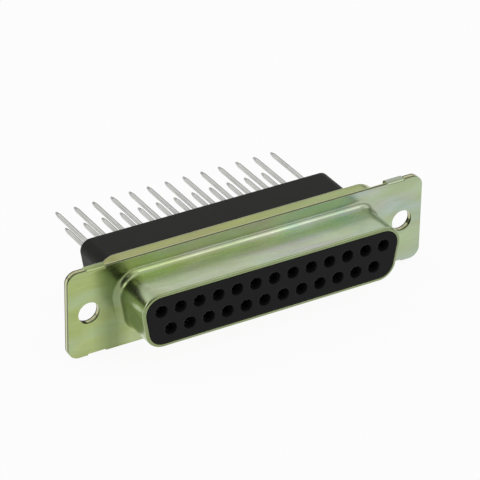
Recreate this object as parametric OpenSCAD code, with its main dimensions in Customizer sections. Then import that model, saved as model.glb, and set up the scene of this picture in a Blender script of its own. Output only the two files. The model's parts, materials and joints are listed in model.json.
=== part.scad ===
// Twenty-five way D-shaped socket connector with straight round tails.
// Two drawn steel shells trap a two-piece insulator, which traps the turned contacts.
// The origin is midway between the mounting holes, on the flange's front face.
// X runs along the length, Z is up, the mating side faces -Y and the tails point to +Y.

/* [Contact pattern] */
// Number of contacts in the upper row, one more than in the lower row
upper_count = 13; // [5:1:19]
// Distance between neighbours in a row
pitch = 2.76; // [2.7:0.01:2.8]
// Distance between the two rows
row_gap = 2.84; // [2.6:0.02:3]

/* [Shell sheet] */
// Thickness of the sheet of both shells
sheet_t = 0.45; // [0.35:0.05:0.5]

/* [Mating skirt] */
// Distance from the last upper contact to the skirt's widest point
skirt_end = 2.64; // [2.5:0.02:2.9]
// Distance from a row to the skirt's outside
skirt_side = 2.53; // [2.3:0.01:2.8]
// Reach of the skirt in front of the flange
skirt_depth = 6.2; // [5.6:0.1:7.5]
// Outer radius of the skirt's corners
skirt_corner_r = 2.6; // [1.8:0.1:2.8]
// Slope of the two sides that keep the plug from going in upside down
side_slope = 10; // [6:1:12]
// Outer radius where the skirt is drawn out of the flange
skirt_root_r = 1; // [0.5:0.1:1.2]
// Radius on the skirt's front edge
skirt_rim_r = 0.3; // [0.1:0.05:0.3]

/* [Mounting flange] */
// Distance from the skirt's widest point to the centre of a mounting hole
hole_reach = 4.32; // [4.2:0.02:4.8]
// Diameter of the mounting holes
mount_hole_d = 3.05; // [2.6:0.05:3.2]
// Distance from the centre of a mounting hole to the flange's end
flange_end = 3; // [2.6:0.1:4]
// Distance from the skirt's outside to the flange's long edge
flange_side = 2.3; // [2.1:0.05:3]
// Radius of the flange's corners
flange_corner_r = 1.5; // [0.5:0.1:2]

/* [Crimp tabs] */
// Distance from the flange's end to a tab
tab_inset = 2.8; // [1.6:0.1:4]
// Width of one tab
tab_w = 2.6; // [1:0.1:3]
// Height of the bent-over part of a tab
tab_h = 1.6; // [1:0.1:2.2]
// How far a bent tab stands above the edge of the plate
tab_rise = 0.05; // [0.05:0.05:0.3]
// Play between a tab and the step in the rear plate beside it
tab_gap = 0.15; // [0.1:0.05:0.3]

/* [Rear shell] */
// How far the rear shell's box stands out past the widest skirt, each side
box_side = 1.7; // [1.3:0.1:1.9]
// Distance from the box's top to the edge of the rear plate
box_inset = 0.22; // [0.2:0.02:0.4]
// Distance from the flange's front face to the box's rear face
box_depth = 3.5; // [3.2:0.1:4.5]
// Outer radius of the box's corners, seen from behind
box_corner_r = 2.8; // [2.2:0.1:3.2]
// Inner radius of the bend around the box's rear edge
box_bend_r = 0.35; // [0.1:0.05:0.5]
// Outer radius where the box is drawn out of the rear plate
box_root_r = 0.15; // [0.05:0.05:0.15]
// Distance from the box's end to the middle of a relief notch
notch_inset = 0.7; // [0.3:0.1:1.2]
// Width of a relief notch
notch_w = 1.7; // [1:0.1:2.2]
// Depth of a relief notch below the edge of the rear plate
notch_h = 0.75; // [0.4:0.05:1]

/* [Insulators] */
// Thickness of the front insulator's flange
front_flange_t = 1.2; // [1:0.1:1.4]
// Distance from the last upper contact to the rear body's widest point
body_end = 2.3; // [2:0.02:3]
// Distance from a row to the outside of the rear body
body_side = 2.08; // [1.9:0.02:2.4]
// Radius of the body's long edges
body_corner_r = 1.5; // [0.6:0.1:1.8]
// Distance from the flange's front face to the body's rear face
body_depth = 11; // [9:0.1:13]
// Play between an insulator and the shell around it
shell_gap = 0.08; // [0.04:0.02:0.14]

/* [Contact entries] */
// Diameter of an entry hole at its narrow end
entry_d = 1.3; // [1.15:0.05:1.4]
// How far an entry hole flares out towards the front face, on each side
lead_in = 0.25; // [0.1:0.05:0.35]
// Thickness of the front wall that guards the contacts
entry_wall_t = 0.7; // [0.5:0.05:1]

/* [Contacts] */
// Diameter of the socket bore
bore_d = 1.07; // [1.03:0.01:1.1]
// Depth of the socket bore
bore_l = 5; // [4:0.1:5.4]
// Outer diameter of the socket barrel
barrel_d = 1.6; // [1.5:0.05:1.7]
// Width of the slots that let the barrel spring open
slot_w = 0.2; // [0.1:0.02:0.26]
// Length of the slots
slot_l = 3.6; // [2:0.1:3.8]
// Diameter of the collar that the insulators trap
collar_d = 2.1; // [1.9:0.05:2.2]
// Length of the collar
collar_l = 0.7; // [0.4:0.05:0.8]
// Diameter of the shank inside the rear insulator
shank_d = 1.3; // [1:0.05:1.5]
// Diameter of the tails
tail_d = 0.6; // [0.5:0.02:0.7]
// Distance from the flange's front face to the tips of the tails
tail_reach = 22.1; // [17:0.1:26]
// Length of the tapered tip
tip_l = 0.9; // [0.5:0.1:1.4]
// Diameter of the blunt end of the tip
tip_d = 0.34; // [0.2:0.02:0.4]
// Play between a contact and the insulator around it
contact_gap = 0.08; // [0.04:0.02:0.1]

/* [Hidden] */
$fn = 48;
// How far a cutting shape runs past what it cuts
overrun = 0.5;
// Each straight stretch of a swept wall reaches this far into its neighbours
lap = 0.03;
// Each corner of a swept wall turns this many degrees too far at both of its ends
turn_lap = 0.3;
// A straight stretch lies this far under the faces of the corners that it runs into
let_in = 0.005;

// The contact pattern sets the skirt, and the skirt sets the holes and the flange
pattern_l = (upper_count - 1) * pitch;
skirt_w = pattern_l + 2 * skirt_end;
skirt_h = row_gap + 2 * skirt_side;
mount_pitch = skirt_w + 2 * hole_reach;
flange_l = mount_pitch + 2 * flange_end;
flange_h = skirt_h + 2 * flange_side;
// Corner centres of the skirt's outline, which all the outlines around the skirt share
skirt_x = skirt_w / 2 - skirt_corner_r;
skirt_y = skirt_h / 2 - skirt_corner_r;
// Corner centres of the rear body's outline
body_x = pattern_l / 2 + body_end - body_corner_r;
body_y = row_gap / 2 + body_side - body_corner_r;
// Between the tabs the rear plate stops short by the sheet that is folded over it
rear_plate_h = flange_h - 2 * sheet_t;
box_w = skirt_w + 2 * box_side;
box_h = rear_plate_h - 2 * box_inset;
notch_x = box_w / 2 - notch_inset;
box_x = box_w / 2 - box_corner_r;
box_y = box_h / 2 - box_corner_r;
box_wall_l = box_depth - 2 * sheet_t;
box_edge_r = box_bend_r + sheet_t;
tab_x = flange_l / 2 - tab_inset - tab_w / 2;
tab_top = flange_h / 2 + tab_rise;
// Where the two insulators meet
split_z = -(sheet_t + front_flange_t);
floor_z = -(box_depth - sheet_t);
barrel_front_z = skirt_depth - entry_wall_t - contact_gap;
barrel_rear_z = split_z + collar_l;
// A shank ends just inside the rear insulator's rear face
shank_rear_z = contact_gap - body_depth;
// Places of the contacts, upper row first, from left to right
contact_places = concat(
    [for (i = [0 : upper_count - 1]) [i * pitch - pattern_l / 2, row_gap / 2]],
    [for (i = [0 : upper_count - 2]) [(i + 1 / 2) * pitch - pattern_l / 2, -row_gap / 2]]
);
contact_count = len(contact_places);
function contact_name(n) = str("contact_", n < 10 ? "0" : "", n);

// Everything is drawn with its outlines in XY and the mating side towards +Z, then stood up
module stood_up() {
    rotate([90, 0, 0]) children();
}

// Quarter of a ring that lies at positive X and Y
module quarter_ring(inner_r, outer_r) {
    difference() {
        intersection() {
            circle(r = outer_r);
            square(outer_r);
        }
        circle(r = inner_r);
    }
}

// Corners of a rounded trapezoid that narrows downwards, anticlockwise from the upper right:
// each has its centre, the direction in which its arc starts, and the angle that the arc turns
function corners(centre_x, centre_y, slope) =
    let (low_x = centre_x - 2 * centre_y * tan(slope))
    [
        [[centre_x, centre_y], -slope, 90 + slope],
        [[-centre_x, centre_y], 90, 90 + slope],
        [[-low_x, -centre_y], 180 + slope, 90 - slope],
        [[low_x, -centre_y], 270, 90 - slope]
    ];

// Carries wall sections around a rounded trapezoid: the first around its corners, and the
// second, which is let into the first, along its sides.
// A section's X is the distance out from the corner centres, and its Y is the height.
module around(centre_x, centre_y, slope) {
    places = corners(centre_x, centre_y, slope);
    for (i = [0 : 3]) {
        centre = places[i][0];
        next_centre = places[(i + 1) % 4][0];
        translate(centre)
            rotate(places[i][1] - turn_lap)
                rotate_extrude(angle = places[i][2] + 2 * turn_lap) children(0);
        translate(next_centre)
            rotate([90, 0, places[i][1] + places[i][2]])
                translate([0, 0, -lap])
                    linear_extrude(norm(next_centre - centre) + 2 * lap) children(1);
    }
}

// Flat outline of the same rounded trapezoid, its arcs of radius r
module outline(centre_x, centre_y, slope, r) {
    places = corners(centre_x, centre_y, slope);
    polygon([
        for (place = places, turn = [0, place[2]])
            place[0] + (r - let_in) * [cos(place[1] + turn), sin(place[1] + turn)]
    ]);
    for (place = places)
        translate(place[0]) circle(r = r);
}

// Section of a sheet that is bent out of a plate and up a wall, its faces set in by inset.
// The plate's face is Y zero, and the wall's top is left for what it carries.
module bent_wall(wall_r, root_r, top_y, inset) {
    translate([wall_r + root_r, inset - sheet_t])
        square([2 * lap, sheet_t - 2 * inset]);
    translate([wall_r + root_r, root_r])
        rotate(180) quarter_ring(root_r + inset, root_r + sheet_t - inset);
    translate([wall_r - sheet_t + inset, root_r])
        square([sheet_t - 2 * inset, top_y - root_r]);
}

// Section of the skirt, with a rounded front edge
module skirt_section(inset) {
    rim_y = skirt_depth - skirt_rim_r;
    bent_wall(skirt_corner_r, skirt_root_r, rim_y, inset);
    translate([skirt_corner_r - sheet_t + inset, rim_y])
        square([sheet_t - skirt_rim_r - inset, skirt_rim_r - inset]);
    translate([skirt_corner_r - skirt_rim_r, rim_y])
        quarter_ring(0, skirt_rim_r - inset);
}

// Section of the box, which turns inwards to its floor
module box_section(inset) {
    bend_y = box_wall_l - box_edge_r;
    bent_wall(box_corner_r, box_root_r, bend_y, inset);
    translate([box_corner_r - box_edge_r, bend_y])
        quarter_ring(box_bend_r + inset, box_edge_r - inset);
    translate([box_corner_r - box_edge_r - 2 * lap, box_wall_l - sheet_t + inset])
        square([2 * lap, sheet_t - 2 * inset]);
}

module plate_outline() {
    outline(flange_l / 2 - flange_corner_r, flange_h / 2 - flange_corner_r, 0, flange_corner_r);
}

module mounting_holes() {
    for (side = [-1, 1])
        translate([side * mount_pitch / 2, 0]) circle(d = mount_hole_d);
}

// Section of a tab that starts as the front plate and folds back over the rear plate's edge
module tab_section() {
    difference() {
        union() {
            translate([tab_top - tab_h, -3 * sheet_t]) square([tab_h - sheet_t, 3 * sheet_t]);
            translate([tab_top - sheet_t, -2 * sheet_t]) square(sheet_t);
            translate([tab_top - sheet_t, -sheet_t]) quarter_ring(0, sheet_t);
            translate([tab_top - sheet_t, -2 * sheet_t]) rotate(-90) quarter_ring(0, sheet_t);
        }
        translate([tab_top - tab_h - overrun, -2 * sheet_t])
            square([tab_h - sheet_t + overrun, sheet_t]);
    }
}

module at_tabs() {
    for (side = [0, 1], edge = [0, 1])
        mirror([side, 0, 0]) mirror([0, edge, 0])
            translate([tab_x - tab_w / 2, 0, 0]) children();
}

module front_shell() {
    color("#a3ad72") stood_up() {
        difference() {
            translate([0, 0, -sheet_t])
                linear_extrude(sheet_t)
                    difference() {
                        plate_outline();
                        outline(skirt_x, skirt_y, side_slope, skirt_corner_r + skirt_root_r + lap);
                        mounting_holes();
                    }
            at_tabs()
                translate([0, tab_top - tab_h, -sheet_t - overrun])
                    cube([tab_w, tab_h + overrun, sheet_t + 2 * overrun]);
        }
        around(skirt_x, skirt_y, side_slope) {
            skirt_section(let_in);
            skirt_section(2 * let_in);
        }
        at_tabs()
            rotate([90, 0, 90]) linear_extrude(tab_w) tab_section();
    }
}

// Strips that set back the long edges of the rear plate, from the tabs at one end to the other
module tab_recesses() {
    for (edge = [-1, 1])
        translate([0, edge * flange_h / 2])
            square([2 * (tab_x + tab_gap) + tab_w, 2 * sheet_t], center = true);
}

// Squares that notch the long edges of the rear plate, beside the corners of the box
module relief_notches() {
    for (side = [-1, 1], edge = [-1, 1])
        translate([side * notch_x, edge * rear_plate_h / 2])
            square([notch_w, 2 * notch_h], center = true);
}

// The rear shell is drawn with its own rear side up, then turned over
module rear_shell() {
    color("#9aa46c") stood_up()
        translate([0, 0, -2 * sheet_t])
            mirror([0, 0, 1]) {
                translate([0, 0, -sheet_t])
                    linear_extrude(sheet_t)
                        difference() {
                            plate_outline();
                            tab_recesses();
                            outline(box_x, box_y, 0, box_corner_r + box_root_r + lap);
                            mounting_holes();
                            relief_notches();
                        }
                around(box_x, box_y, 0) {
                    box_section(let_in);
                    box_section(2 * let_in);
                }
                translate([0, 0, box_wall_l - sheet_t])
                    linear_extrude(sheet_t)
                        difference() {
                            outline(box_x, box_y, 0, box_corner_r - box_edge_r - lap);
                            outline(body_x, body_y, side_slope, body_corner_r + shell_gap);
                        }
            }
}

// Flange of an insulator, which fills the rear shell's box
module insulator_flange(low_z, high_z, inset) {
    translate([0, 0, low_z])
        linear_extrude(high_z - low_z)
            outline(box_x, box_y, 0, box_corner_r - sheet_t - inset);
}

module at_contacts() {
    for (place = contact_places)
        translate(place) children();
}

// Flared entry hole, barrel cavity and collar pocket, all on one axis
module front_cavity() {
    rotate_extrude()
        polygon([
            [0, split_z - overrun],
            [collar_d / 2 + contact_gap, split_z - overrun],
            [collar_d / 2 + contact_gap, barrel_rear_z + contact_gap],
            [barrel_d / 2 + contact_gap, barrel_rear_z + contact_gap],
            [barrel_d / 2 + contact_gap, skirt_depth - entry_wall_t],
            [entry_d / 2, skirt_depth - entry_wall_t],
            [entry_d / 2 + lead_in, skirt_depth],
            [entry_d / 2 + lead_in, skirt_depth + overrun],
            [0, skirt_depth + overrun]
        ]);
}

module front_insulator() {
    color("#2a2a2b") stood_up()
        difference() {
            union() {
                insulator_flange(split_z, -sheet_t, shell_gap);
                translate([0, 0, split_z])
                    linear_extrude(skirt_depth - split_z)
                        outline(skirt_x, skirt_y, side_slope, skirt_corner_r - sheet_t - shell_gap);
            }
            at_contacts() front_cavity();
        }
}

// Hole for a contact's shank, right through the rear insulator
module rear_cavity() {
    translate([0, 0, -body_depth - overrun])
        cylinder(r = shank_d / 2 + contact_gap, h = body_depth + split_z + 2 * overrun);
}

module rear_insulator() {
    color("#35342f") stood_up()
        difference() {
            union() {
                insulator_flange(floor_z + box_edge_r, split_z, shell_gap);
                insulator_flange(floor_z, floor_z + box_edge_r, box_edge_r);
                translate([0, 0, -body_depth])
                    linear_extrude(split_z + body_depth)
                        outline(body_x, body_y, side_slope, body_corner_r);
            }
            at_contacts() rear_cavity();
        }
}

// Turned contact: slotted socket barrel, collar, shank and round tail with a blunt point
module contact(n) {
    taper_z = tip_l - tail_reach;
    color("#c9ccc6") stood_up()
        translate(contact_places[n - 1])
            difference() {
                rotate_extrude() {
                    polygon([
                        [0, taper_z - tip_l + tip_d / 2],
                        [tip_d / 2, taper_z - tip_l + tip_d / 2],
                        [tail_d / 2, taper_z],
                        [tail_d / 2, shank_rear_z],
                        [shank_d / 2, shank_rear_z],
                        [shank_d / 2, split_z],
                        [collar_d / 2, split_z],
                        [collar_d / 2, barrel_rear_z],
                        [barrel_d / 2, barrel_rear_z],
                        [barrel_d / 2, barrel_front_z],
                        [bore_d / 2, barrel_front_z],
                        [bore_d / 2, barrel_front_z - bore_l],
                        [0, barrel_front_z - bore_l - bore_d / 4]
                    ]);
                    translate([0, tip_d / 2 - tail_reach])
                        rotate(-90) quarter_ring(0, tip_d / 2);
                }
                translate([-barrel_d, -slot_w / 2, barrel_front_z - slot_l])
                    cube([2 * barrel_d, slot_w, slot_l + overrun]);
            }
}

front_shell();
rear_shell();
front_insulator();
rear_insulator();
for (n = [1 : contact_count])
    contact(n);
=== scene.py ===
"""Looks of the D-shaped socket connector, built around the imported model."""
import json
import math

import bpy
from mathutils import Matrix, Vector


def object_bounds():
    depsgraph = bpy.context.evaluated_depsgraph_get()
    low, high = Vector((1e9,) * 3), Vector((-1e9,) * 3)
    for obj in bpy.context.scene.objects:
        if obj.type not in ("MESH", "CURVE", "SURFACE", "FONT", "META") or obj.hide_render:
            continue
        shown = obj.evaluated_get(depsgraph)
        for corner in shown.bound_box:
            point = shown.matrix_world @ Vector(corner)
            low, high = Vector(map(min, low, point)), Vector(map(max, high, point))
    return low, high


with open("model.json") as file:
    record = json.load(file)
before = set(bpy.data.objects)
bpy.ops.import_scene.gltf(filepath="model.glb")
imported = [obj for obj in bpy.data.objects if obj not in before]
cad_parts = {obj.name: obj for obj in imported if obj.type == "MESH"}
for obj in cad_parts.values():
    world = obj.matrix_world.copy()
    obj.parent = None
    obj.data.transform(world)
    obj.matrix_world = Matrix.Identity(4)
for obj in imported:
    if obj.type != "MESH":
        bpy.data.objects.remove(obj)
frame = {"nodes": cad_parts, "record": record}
cad_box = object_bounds()

MM = 0.001

# The photograph's camera: where it stands, how it is turned, and how far it sees
CAMERA_AZIMUTH = -31.224
CAMERA_ELEVATION = 30.766
CAMERA_ROLL = 0.972
CAMERA_DISTANCE = 399.624 * MM
CAMERA_ASIDE = -1.22 * MM
CAMERA_ABOVE = 3.316 * MM
CLIP_NEAR = 10 * MM
CLIP_FAR = 20.0
FOCAL_PX = 3091.487
PHOTO_PX = 480
SENSOR_MM = 36

# The floor lies just under the lowest edge of the flange
FLOOR_GAP = 0.2 * MM
FLOOR_SIDE = 4.0

# Radii that the materials give to sharp edges
PLATING_EDGE = 0.07 * MM
FRONT_MOULDING_EDGE = 0.2 * MM
REAR_MOULDING_EDGE = 0.1 * MM
BEVEL_SAMPLES = 6

# Bumps: depth and strength
RIPPLE_BUMP = (0.08 * MM, 0.14)
PLATING_GRAIN_BUMP = (0.002 * MM, 0.5)
MOULDING_GRAIN_BUMP = (0.008 * MM, 0.6)
TURNED_RING_BUMP = (0.002 * MM, 0.4)

# The folded tabs and the two plates, in the millimetres of the materials' coordinates
TAB_X = 22.42
TAB_W = 2.6
TAB_BLEND = 0.1
PLATES_T = 0.9

# Spans: a value that goes from the first number to the second becomes a share that goes
# from the third to the fourth. The values here are places in millimetres.
TINT_ALONG_X = (-26.0, 26.0, 0.06, 0.44)
DRAWN_Y = (-0.2, -2.2, 0.0, 0.62)
# The rim, where a painted shade darkens the film
RIM_SHADE_Y = (-5.9, -6.1, 0.0, 0.85)
ROSE_ALONG_X = (-23.0, -12.0, 0.15, 1.0)
# Where a painted shade lies at one end of the skirt's root
ROOT_SHADE_FROM_X = (-23.2, -20.6, 0.0, 1.0)
ROOT_SHADE_TO_X = (-17.5, -19.6, 0.0, 1.0)
ROOT_SHADE_Y = (-1.6, -0.4, 0.0, 0.55)
BEHIND_FRONT_FACE_Y = (-0.05, 0.0, 0.0, 1.0)
BEFORE_REAR_FACE_Y = (0.92, 0.97, 1.0, 0.0)
TAB_EDGE_Z = (5.7, 5.9, 0.0, 1.0)
# Painted shade over the contacts' mouths, deep in their holes
MOUTH_SHADE_Y = (-5.2, -4.6, 0.0, 1.0)

# Spans of a noise, of the way that a surface faces, or of the rubbed share of an edge
NOISE_MIDDLE = (0.3, 0.7)
EDGE_TURN = (0.80, 0.985, 1.0, 0.0)
SIDEWAYS = (0.3, 0.6, 1.0, 0.0)
ROSE_SHARE = (0.48, 0.70, 0.0, 0.42)
# Share of the pale edge tint, which is partly wear and partly a painted highlight
WORN_AND_HIGHLIGHT_SHARE = (0.3, 0.6, 0.2, 0.6)
PLATING_ROUGHNESS = (*NOISE_MIDDLE, 0.18, 0.28)
CONTACT_ROUGHNESS = (*NOISE_MIDDLE, 0.24, 0.16)
RUBBED_GLOSS = (0.0, 1.0, 1.0, 0.45)

# Noises: cells in a millimetre along X, Y and Z, then detail, roughness and distortion
WANDER = ((0.09, 0.26, 0.17), 2.0, 0.45, 0.3)
ROSE = ((0.09, 0.5, 0.25), 2.0, 0.5, 0.2)
CLOUD = ((0.16, 0.6, 0.6), 5.0, 0.6, 0.8)
PLATING_GRAIN = ((1.0, 9.0, 9.0), 4.0, 0.6, 0.0)
RIPPLE = ((0.08, 0.22, 0.22), 1.5, 0.4, 0.0)
FLOW = ((0.25, 0.35, 0.35), 4.0, 0.6, 0.6)
MOULDING_GRAIN = ((9.0, 9.0, 9.0), 3.0, 0.6, 0.0)
DULL_PATCHES = ((0.8, 0.3, 0.8), 4.0, 0.6, 0.0)
TURNED_RINGS = ((0.2, 14.0, 0.2), 3.0, 0.6, 0.0)
FLOOR_SPECKS = ((0.05, 0.05, 0.05), 3.0, 0.55, 0.0)

# Starts of the rose places and the clouds in their noises, so that neither follows the drift
ROSE_START = Vector((20, 0, 4))
CLOUD_START = Vector((7, 0, 0))

# Lamps: the way from the part to each, the side of its square in metres, and its power in watts
LAMP_DISTANCE = 0.5
LAMPS = {
    "key": ((0.45, -0.5, 0.75), 0.16, 0.09),
    "spark": ((-0.235, -0.731, 0.64), 0.05, 0.03),
    "left": ((-0.9, 0.1, 0.42), 0.26, 0.24),
}

# The room: its brightness by height, the middle of its dark side, and how it fades out
# towards that side, behind the part and above the horizon
ROOM_LEVELS = ((0.09, 1.0), (0.14, 0.34), (0.29, 0.42), (0.40, 1.1), (0.60, 1.1), (0.73, 0.7), (1.0, 0.9))
DARK_SIDE = (-0.445, -0.735, 0.512)
DARK_FADE = (0.80, 0.92, 1.0, 0.04)
BEHIND_FADE = (0.0, 0.5, 1.0, 0.8)
HORIZON_FADE = (0.09, 0.18, 1.0, 0.0)


def linear(red, green, blue):
    """Colour of 8-bit screen values, as the linear numbers that shaders take."""
    return tuple(
        c / 12.92 if c <= 0.04045 else ((c + 0.055) / 1.055) ** 2.4
        for c in (red / 255, green / 255, blue / 255)
    )


WHITE = (1.0, 1.0, 1.0)

# Film on each shell, by its drift from one end of the part to the other
FRONT_TINTS = (
    (0.22, linear(163, 179, 116)),
    (0.34, linear(173, 187, 126)),
    (0.42, linear(172, 190, 146)),
    (0.49, linear(186, 190, 168)),
    (0.55, linear(180, 196, 160)),
    (0.61, linear(164, 190, 170)),
    (0.68, linear(176, 188, 160)),
    (0.76, linear(174, 194, 152)),
)
REAR_TINTS = (
    (0.22, linear(164, 170, 124)),
    (0.36, linear(176, 179, 124)),
    (0.46, linear(176, 184, 122)),
    (0.58, linear(174, 184, 126)),
    (0.72, linear(174, 188, 136)),
)
WANDER_SHARE = 0.5
DRAWN_TINT = linear(198, 211, 180)
ROSE_TINT = linear(198, 190, 210)
# Painted shade on the rim of the skirt
RIM_PAINTED_SHADE = linear(134, 148, 104)
# Painted shade at one end of the skirt's root
ROOT_PAINTED_SHADE = linear(92, 108, 80)
# Pale edges: partly wear of the film, partly a painted highlight
WORN_AND_HIGHLIGHT_TINT = linear(214, 218, 168)
STAIN = ((0.30, linear(240, 239, 228)), (0.66, WHITE))

# Sheared edge of the two plates, from the front face to the rear one: dark sheared metal towards both
# faces, with a painted highlight across the middle
SHEARED_BAND_AND_HIGHLIGHT = (
    (0.0, linear(96, 102, 72)),
    (0.28, linear(84, 90, 64)),
    (0.40, linear(200, 202, 156)),
    (0.70, linear(206, 206, 164)),
    (0.86, linear(88, 92, 70)),
)

# Black mouldings: their shades, the flow marks' and rubbed edges' share of a shade, how much
# of the rubbed shade shows, and the grain's range about the roughness
FRONT_BLACK = linear(19, 19, 20)
REAR_BLACK = linear(27, 28, 24)
FLOW_SHADES = ((0.3, 0.88), (0.7, 1.12))
RUBBED_SHADE = 3
RUBBED_SHARE = 0.35
SMOOTHER = 0.06
ROUGHER = 0.08

TIN = ((0.3, linear(212, 213, 208)), (0.7, linear(228, 229, 224)))
# Painted shade on the contacts' mouths
MOUTH_PAINTED_SHADE = linear(96, 94, 88)
TIN_EDGE_TINT = (0.25, 0.25, 0.25, 1)

FLOOR_GREYS = ((0.3, (0.86, 0.86, 0.86)), (0.7, (0.9, 0.9, 0.9)))
FLOOR_ROUGHNESS = 0.9
FLOOR_WHITE_SHARE = 0.93


def camera_axes():
    """Right, up and back of the camera, as unit vectors."""
    azimuth = math.radians(CAMERA_AZIMUTH)
    elevation = math.radians(CAMERA_ELEVATION)
    roll = math.radians(CAMERA_ROLL)
    back = Vector((
        math.sin(azimuth) * math.cos(elevation),
        -math.cos(azimuth) * math.cos(elevation),
        math.sin(elevation),
    ))
    level_right = (-back).cross(Vector((0, 0, 1))).normalized()
    level_up = level_right.cross(-back)
    right = math.cos(roll) * level_right + math.sin(roll) * level_up
    up = -math.sin(roll) * level_right + math.cos(roll) * level_up
    return right, up, back


def make_camera():
    right, up, back = camera_axes()
    data = bpy.data.cameras.new("camera")
    data.sensor_fit = "HORIZONTAL"
    data.sensor_width = SENSOR_MM
    data.lens = FOCAL_PX * SENSOR_MM / PHOTO_PX
    data.clip_start = CLIP_NEAR
    data.clip_end = CLIP_FAR
    camera = bpy.data.objects.new("camera", data)
    place = right * CAMERA_ASIDE + up * CAMERA_ABOVE + back * CAMERA_DISTANCE
    turn = Matrix((right, up, back)).transposed().to_4x4()
    camera.matrix_world = Matrix.Translation(place) @ turn
    bpy.context.scene.collection.objects.link(camera)
    bpy.context.scene.camera = camera


class Nodes:
    """The node tree of a material or world, with short calls that add a node and join it up.

    In add, an input is named by its label, with _ for a blank, or by its number after a _.
    """

    def __init__(self, owner):
        owner.use_nodes = True
        self.tree = owner.node_tree
        self.tree.nodes.clear()

    def put(self, socket, value):
        if isinstance(value, bpy.types.NodeSocket):
            self.tree.links.new(value, socket)
        elif value is not None:
            socket.default_value = value

    def add(self, kind, settings=None, **inputs):
        node = self.tree.nodes.new(kind)
        for name, value in (settings or {}).items():
            setattr(node, name, value)
        for name, value in inputs.items():
            key = int(name[1:]) if name[1:].isdigit() else name.replace("_", " ")
            self.put(node.inputs[key], value)
        return node

    def coords(self, scale, offset=(0, 0, 0)):
        """Object coordinates in millimetres, times a scale for each direction."""
        where = self.add("ShaderNodeTexCoord").outputs["Object"]
        mapping = self.add("ShaderNodeMapping", Vector=where, Location=offset)
        mapping.inputs["Scale"].default_value = [s / MM for s in scale]
        return mapping.outputs["Vector"]

    def axes(self):
        """The object coordinates X, Y and Z, in millimetres."""
        split = self.add("ShaderNodeSeparateXYZ", Vector=self.coords((1, 1, 1)))
        return split.outputs["X"], split.outputs["Y"], split.outputs["Z"]

    def noise(self, scale, detail, roughness, distortion, offset=(0, 0, 0)):
        node = self.add(
            "ShaderNodeTexNoise",
            Vector=self.coords(scale, offset),
            Scale=1.0,
            Detail=detail,
            Roughness=roughness,
            Distortion=distortion,
        )
        return node.outputs["Fac"]

    def ramp(self, factor, stops):
        node = self.add("ShaderNodeValToRGB", Fac=factor)
        elements = node.color_ramp.elements
        while len(elements) < len(stops):
            elements.new(0.5)
        for element, (place, color) in zip(elements, stops):
            element.position = place
            element.color = (*color, 1)
        return node.outputs["Color"]

    def span(self, value, low, high, to_low, to_high):
        """Value moved from one span to another, and held inside it."""
        node = self.add("ShaderNodeMapRange", _0=value, _1=low, _2=high, _3=to_low, _4=to_high)
        return node.outputs["Result"]

    def math(self, operation, a, b=None):
        return self.add("ShaderNodeMath", {"operation": operation}, _0=a, _1=b).outputs[0]

    def product(self, *factors):
        result = factors[0]
        for factor in factors[1:]:
            result = self.math("MULTIPLY", result, factor)
        return result

    def dot(self, a, b):
        return self.add("ShaderNodeVectorMath", {"operation": "DOT_PRODUCT"}, _0=a, _1=b).outputs["Value"]

    def mix(self, factor, a, b, blend="MIX"):
        """Colours a and b mixed by a factor. Each is a socket or three numbers."""
        a, b = (c if isinstance(c, bpy.types.NodeSocket) else (*c, 1) for c in (a, b))
        node = self.add("ShaderNodeMix", {"data_type": "RGBA", "blend_type": blend}, _0=factor, _6=a, _7=b)
        return node.outputs[2]

    def bump(self, height, distance, strength, normal=None):
        node = self.add(
            "ShaderNodeBump", Height=height, Distance=distance, Strength=strength, Normal=normal
        )
        return node.outputs["Normal"]

    def edge_normal(self, radius):
        """Normal that turns smoothly over an edge, as if the edge were broken by a radius."""
        return self.add("ShaderNodeBevel", {"samples": BEVEL_SAMPLES}, Radius=radius).outputs["Normal"]

    def edges(self, radius):
        """1 along sharp edges and 0 away from them."""
        true_normal = self.add("ShaderNodeNewGeometry").outputs["Normal"]
        return self.span(self.dot(self.edge_normal(radius), true_normal), *EDGE_TURN)

    def finish(self, shader, output="ShaderNodeOutputMaterial"):
        self.tree.links.new(shader.outputs[0], self.add(output).inputs["Surface"])


def skirt_film(n, film, x, y, seed):
    """The film where the sheet is drawn: paler on the skirt, with faint rose places, a painted shade that
    darkens the rim, and a painted shade at one end of the skirt's root."""
    film = n.mix(n.span(y, *DRAWN_Y), film, DRAWN_TINT)
    rose = n.noise(*ROSE, ROSE_START + Vector((seed, 0, 0)))
    rosy = n.product(n.span(rose, *ROSE_SHARE), n.span(x, *ROSE_ALONG_X))
    film = n.mix(rosy, film, ROSE_TINT)
    # Painted shade on the rim
    film = n.mix(n.span(y, *RIM_SHADE_Y), film, RIM_PAINTED_SHADE)
    # Painted shade at one end of the skirt's root, standing in for a dark reflection
    root_shade = n.product(n.span(x, *ROOT_SHADE_FROM_X), n.span(x, *ROOT_SHADE_TO_X), n.span(y, *ROOT_SHADE_Y))
    return n.mix(root_shade, film, ROOT_PAINTED_SHADE)


def sheared_share(n, x, y, z):
    """1 on the sheared edges of the flat plates, and 0 on their faces and the folded tabs."""
    facing = n.add("ShaderNodeNewGeometry").outputs["True Normal"]
    facing_y = n.math("ABSOLUTE", n.add("ShaderNodeSeparateXYZ", Vector=facing).outputs["Y"])
    from_tab = n.math("ABSOLUTE", n.math("SUBTRACT", n.math("ABSOLUTE", x), TAB_X))
    on_tab = n.span(from_tab, TAB_W / 2, TAB_W / 2 + TAB_BLEND, 1.0, 0.0)
    near_edge = n.span(n.math("ABSOLUTE", z), *TAB_EDGE_Z)
    off_tab = n.math("SUBTRACT", 1.0, n.product(on_tab, near_edge))
    on_edge = n.product(
        n.span(facing_y, *SIDEWAYS),
        n.span(y, *BEHIND_FRONT_FACE_Y),
        n.span(y, *BEFORE_REAR_FACE_Y),
    )
    return n.product(on_edge, off_tab)


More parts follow.
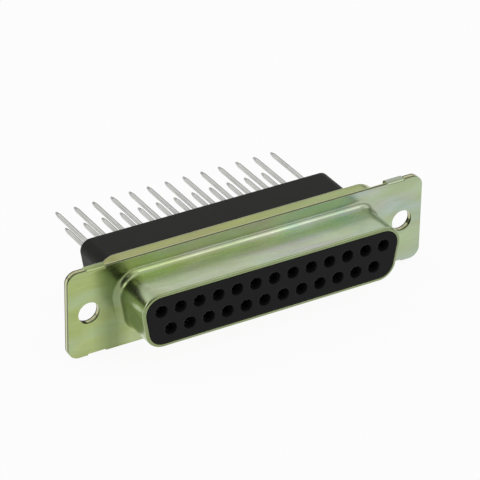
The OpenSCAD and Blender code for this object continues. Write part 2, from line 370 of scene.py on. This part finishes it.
def plating(name, seed, tints, skirted):
    """Chromate film over zinc. Its tint drifts along the length with the film's thickness. Its sharp edges
    are paler, partly from wear and partly as a painted highlight, and its sheared edges are dark towards
    both faces of the plates, with a painted highlight across their middle."""
    material = bpy.data.materials.new(name)
    n = Nodes(material)
    shift = (seed, 2 * seed, 3 * seed)
    x, y, z = n.axes()
    wander = n.product(n.noise(*WANDER, shift), WANDER_SHARE)
    color = n.ramp(n.math("ADD", n.span(x, *TINT_ALONG_X), wander), tints)
    if skirted:
        color = skirt_film(n, color, x, y, seed)
    cloud = n.noise(*CLOUD, CLOUD_START + Vector((seed, seed, seed)))
    color = n.mix(1.0, color, n.ramp(cloud, STAIN), "MULTIPLY")
    # Pale edges, partly wear and partly a painted highlight
    worn_and_highlight = n.product(n.edges(PLATING_EDGE), n.span(cloud, *WORN_AND_HIGHLIGHT_SHARE))
    color = n.mix(worn_and_highlight, color, WORN_AND_HIGHLIGHT_TINT)
    # Dark sheared metal towards both faces, with a painted highlight across the middle
    band = n.ramp(n.span(y, 0.0, PLATES_T, 0.0, 1.0), SHEARED_BAND_AND_HIGHLIGHT)
    color = n.mix(sheared_share(n, x, y, z), color, band)
    grain = n.noise(*PLATING_GRAIN, shift)
    normal = n.bump(n.noise(*RIPPLE, shift), *RIPPLE_BUMP, n.edge_normal(PLATING_EDGE))
    n.finish(n.add(
        "ShaderNodeBsdfPrincipled",
        Base_Color=color,
        Metallic=1.0,
        Roughness=n.span(grain, *PLATING_ROUGHNESS),
        Normal=n.bump(grain, *PLATING_GRAIN_BUMP, normal),
    ))
    return material


def moulding(name, shade, seed, roughness, gloss, edge):
    """Black moulded plastic: a fine matt grain, faint cloudy flow marks, and rounded edges
    that use has rubbed paler and smoother."""
    material = bpy.data.materials.new(name)
    n = Nodes(material)
    flow = n.noise(*FLOW, (seed, 0, 0))
    color = n.ramp(flow, [(place, [share * s for s in shade]) for place, share in FLOW_SHADES])
    rubbed = n.edges(edge)
    color = n.mix(n.product(rubbed, RUBBED_SHARE), color, [RUBBED_SHADE * s for s in shade])
    grain = n.noise(*MOULDING_GRAIN, (seed, seed, 0))
    rough = n.span(grain, *NOISE_MIDDLE, roughness - SMOOTHER, roughness + ROUGHER)
    n.finish(n.add(
        "ShaderNodeBsdfPrincipled",
        Base_Color=color,
        Roughness=n.product(rough, n.span(rubbed, *RUBBED_GLOSS)),
        Specular_IOR_Level=gloss,
        Normal=n.bump(grain, *MOULDING_GRAIN_BUMP, n.edge_normal(edge)),
    ))
    return material


def contact_plating(name):
    """Tin over turned brass: fine rings from turning, faint dull patches, and a painted shade that darkens
    the mouth, deep in its hole."""
    material = bpy.data.materials.new(name)
    n = Nodes(material)
    y = n.axes()[1]
    dull = n.noise(*DULL_PATCHES)
    n.finish(n.add(
        "ShaderNodeBsdfPrincipled",
        # The mouth is darkened by painted shade
        Base_Color=n.mix(n.span(y, *MOUTH_SHADE_Y), MOUTH_PAINTED_SHADE, n.ramp(dull, TIN)),
        Metallic=1.0,
        Roughness=n.span(dull, *CONTACT_ROUGHNESS),
        Specular_Tint=TIN_EDGE_TINT,
        Normal=n.bump(n.noise(*TURNED_RINGS), *TURNED_RING_BUMP),
    ))
    return material


def dress_nodes():
    """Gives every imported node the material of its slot."""
    slots = {
        "front_plating": plating("front_plating", seed=3.0, tints=FRONT_TINTS, skirted=True),
        "rear_plating": plating("rear_plating", seed=11.0, tints=REAR_TINTS, skirted=False),
        "front_moulding": moulding(
            "front_moulding", FRONT_BLACK, seed=1.0, roughness=0.45, gloss=0.12, edge=FRONT_MOULDING_EDGE
        ),
        "rear_moulding": moulding(
            "rear_moulding", REAR_BLACK, seed=5.0, roughness=0.5, gloss=0.17, edge=REAR_MOULDING_EDGE
        ),
        "contact_plating": contact_plating("contact_plating"),
    }
    for part in frame["record"]["subparts"]:
        piece = frame["nodes"][part["node"]]
        for slot in piece.material_slots:
            slot.material = slots[part["material_slot"]]


def shown(n):
    """1 for rays that show the background: from the camera, in a reflection or through glass."""
    path = n.add("ShaderNodeLightPath")
    seen = n.math("MAXIMUM", path.outputs["Is Camera Ray"], path.outputs["Is Transmission Ray"])
    return n.math("MAXIMUM", seen, path.outputs["Is Glossy Ray"])


def make_floor():
    low = cad_box[0]
    half = FLOOR_SIDE / 2
    z = low[2] - FLOOR_GAP
    corners = [(-half, -half, z), (half, -half, z), (half, half, z), (-half, half, z)]
    mesh = bpy.data.meshes.new("floor")
    mesh.from_pydata(corners, [], [(0, 1, 2, 3)])
    floor = bpy.data.objects.new("floor", mesh)
    bpy.context.scene.collection.objects.link(floor)
    material = bpy.data.materials.new("floor")
    n = Nodes(material)
    color = n.ramp(n.noise(*FLOOR_SPECKS), FLOOR_GREYS)
    matt = n.add("ShaderNodeBsdfPrincipled", Base_Color=color, Roughness=FLOOR_ROUGHNESS)
    white = n.add("ShaderNodeEmission", Color=(*WHITE, 1), Strength=1.0)
    share = n.product(shown(n), FLOOR_WHITE_SHARE)
    n.finish(n.add("ShaderNodeMixShader", _0=share, _1=matt.outputs[0], _2=white.outputs[0]))
    mesh.materials.append(material)


def make_world():
    """White at the horizon, then a dim band, a bright band and a calmer top. It is dimmer
    behind the part, and dark on the photographer's side."""
    world = bpy.data.worlds.new("room")
    bpy.context.scene.world = world
    n = Nodes(world)
    way = n.add("ShaderNodeTexCoord").outputs["Generated"]
    split = n.add("ShaderNodeSeparateXYZ", Vector=way).outputs
    level = n.ramp(split["Z"], [(height, (value, value, value)) for height, value in ROOM_LEVELS])
    dimmed = n.product(n.span(n.dot(way, DARK_SIDE), *DARK_FADE), n.span(split["Y"], *BEHIND_FADE))
    shade = n.math("MAXIMUM", dimmed, n.span(split["Z"], *HORIZON_FADE))
    light = n.add("ShaderNodeBackground", Color=n.mix(1.0, level, shade, "MULTIPLY"), Strength=1.0)
    n.finish(light, "ShaderNodeOutputWorld")


def make_lamp(name, direction, side, power):
    """A square soft lamp that stands in a direction from the part and shines on it."""
    data = bpy.data.lights.new(name, "AREA")
    data.shape = "SQUARE"
    data.size = side
    data.energy = power
    lamp = bpy.data.objects.new(name, data)
    way = Vector(direction).normalized()
    lamp.location = way * LAMP_DISTANCE
    lamp.rotation_euler = (-way).to_track_quat("-Z", "Y").to_euler()
    bpy.context.scene.collection.objects.link(lamp)


make_camera()
make_floor()
make_world()
for lamp_name, lamp_values in LAMPS.items():
    make_lamp(lamp_name, *lamp_values)
dress_nodes()

bpy.context.scene.view_settings.view_transform = "Standard"
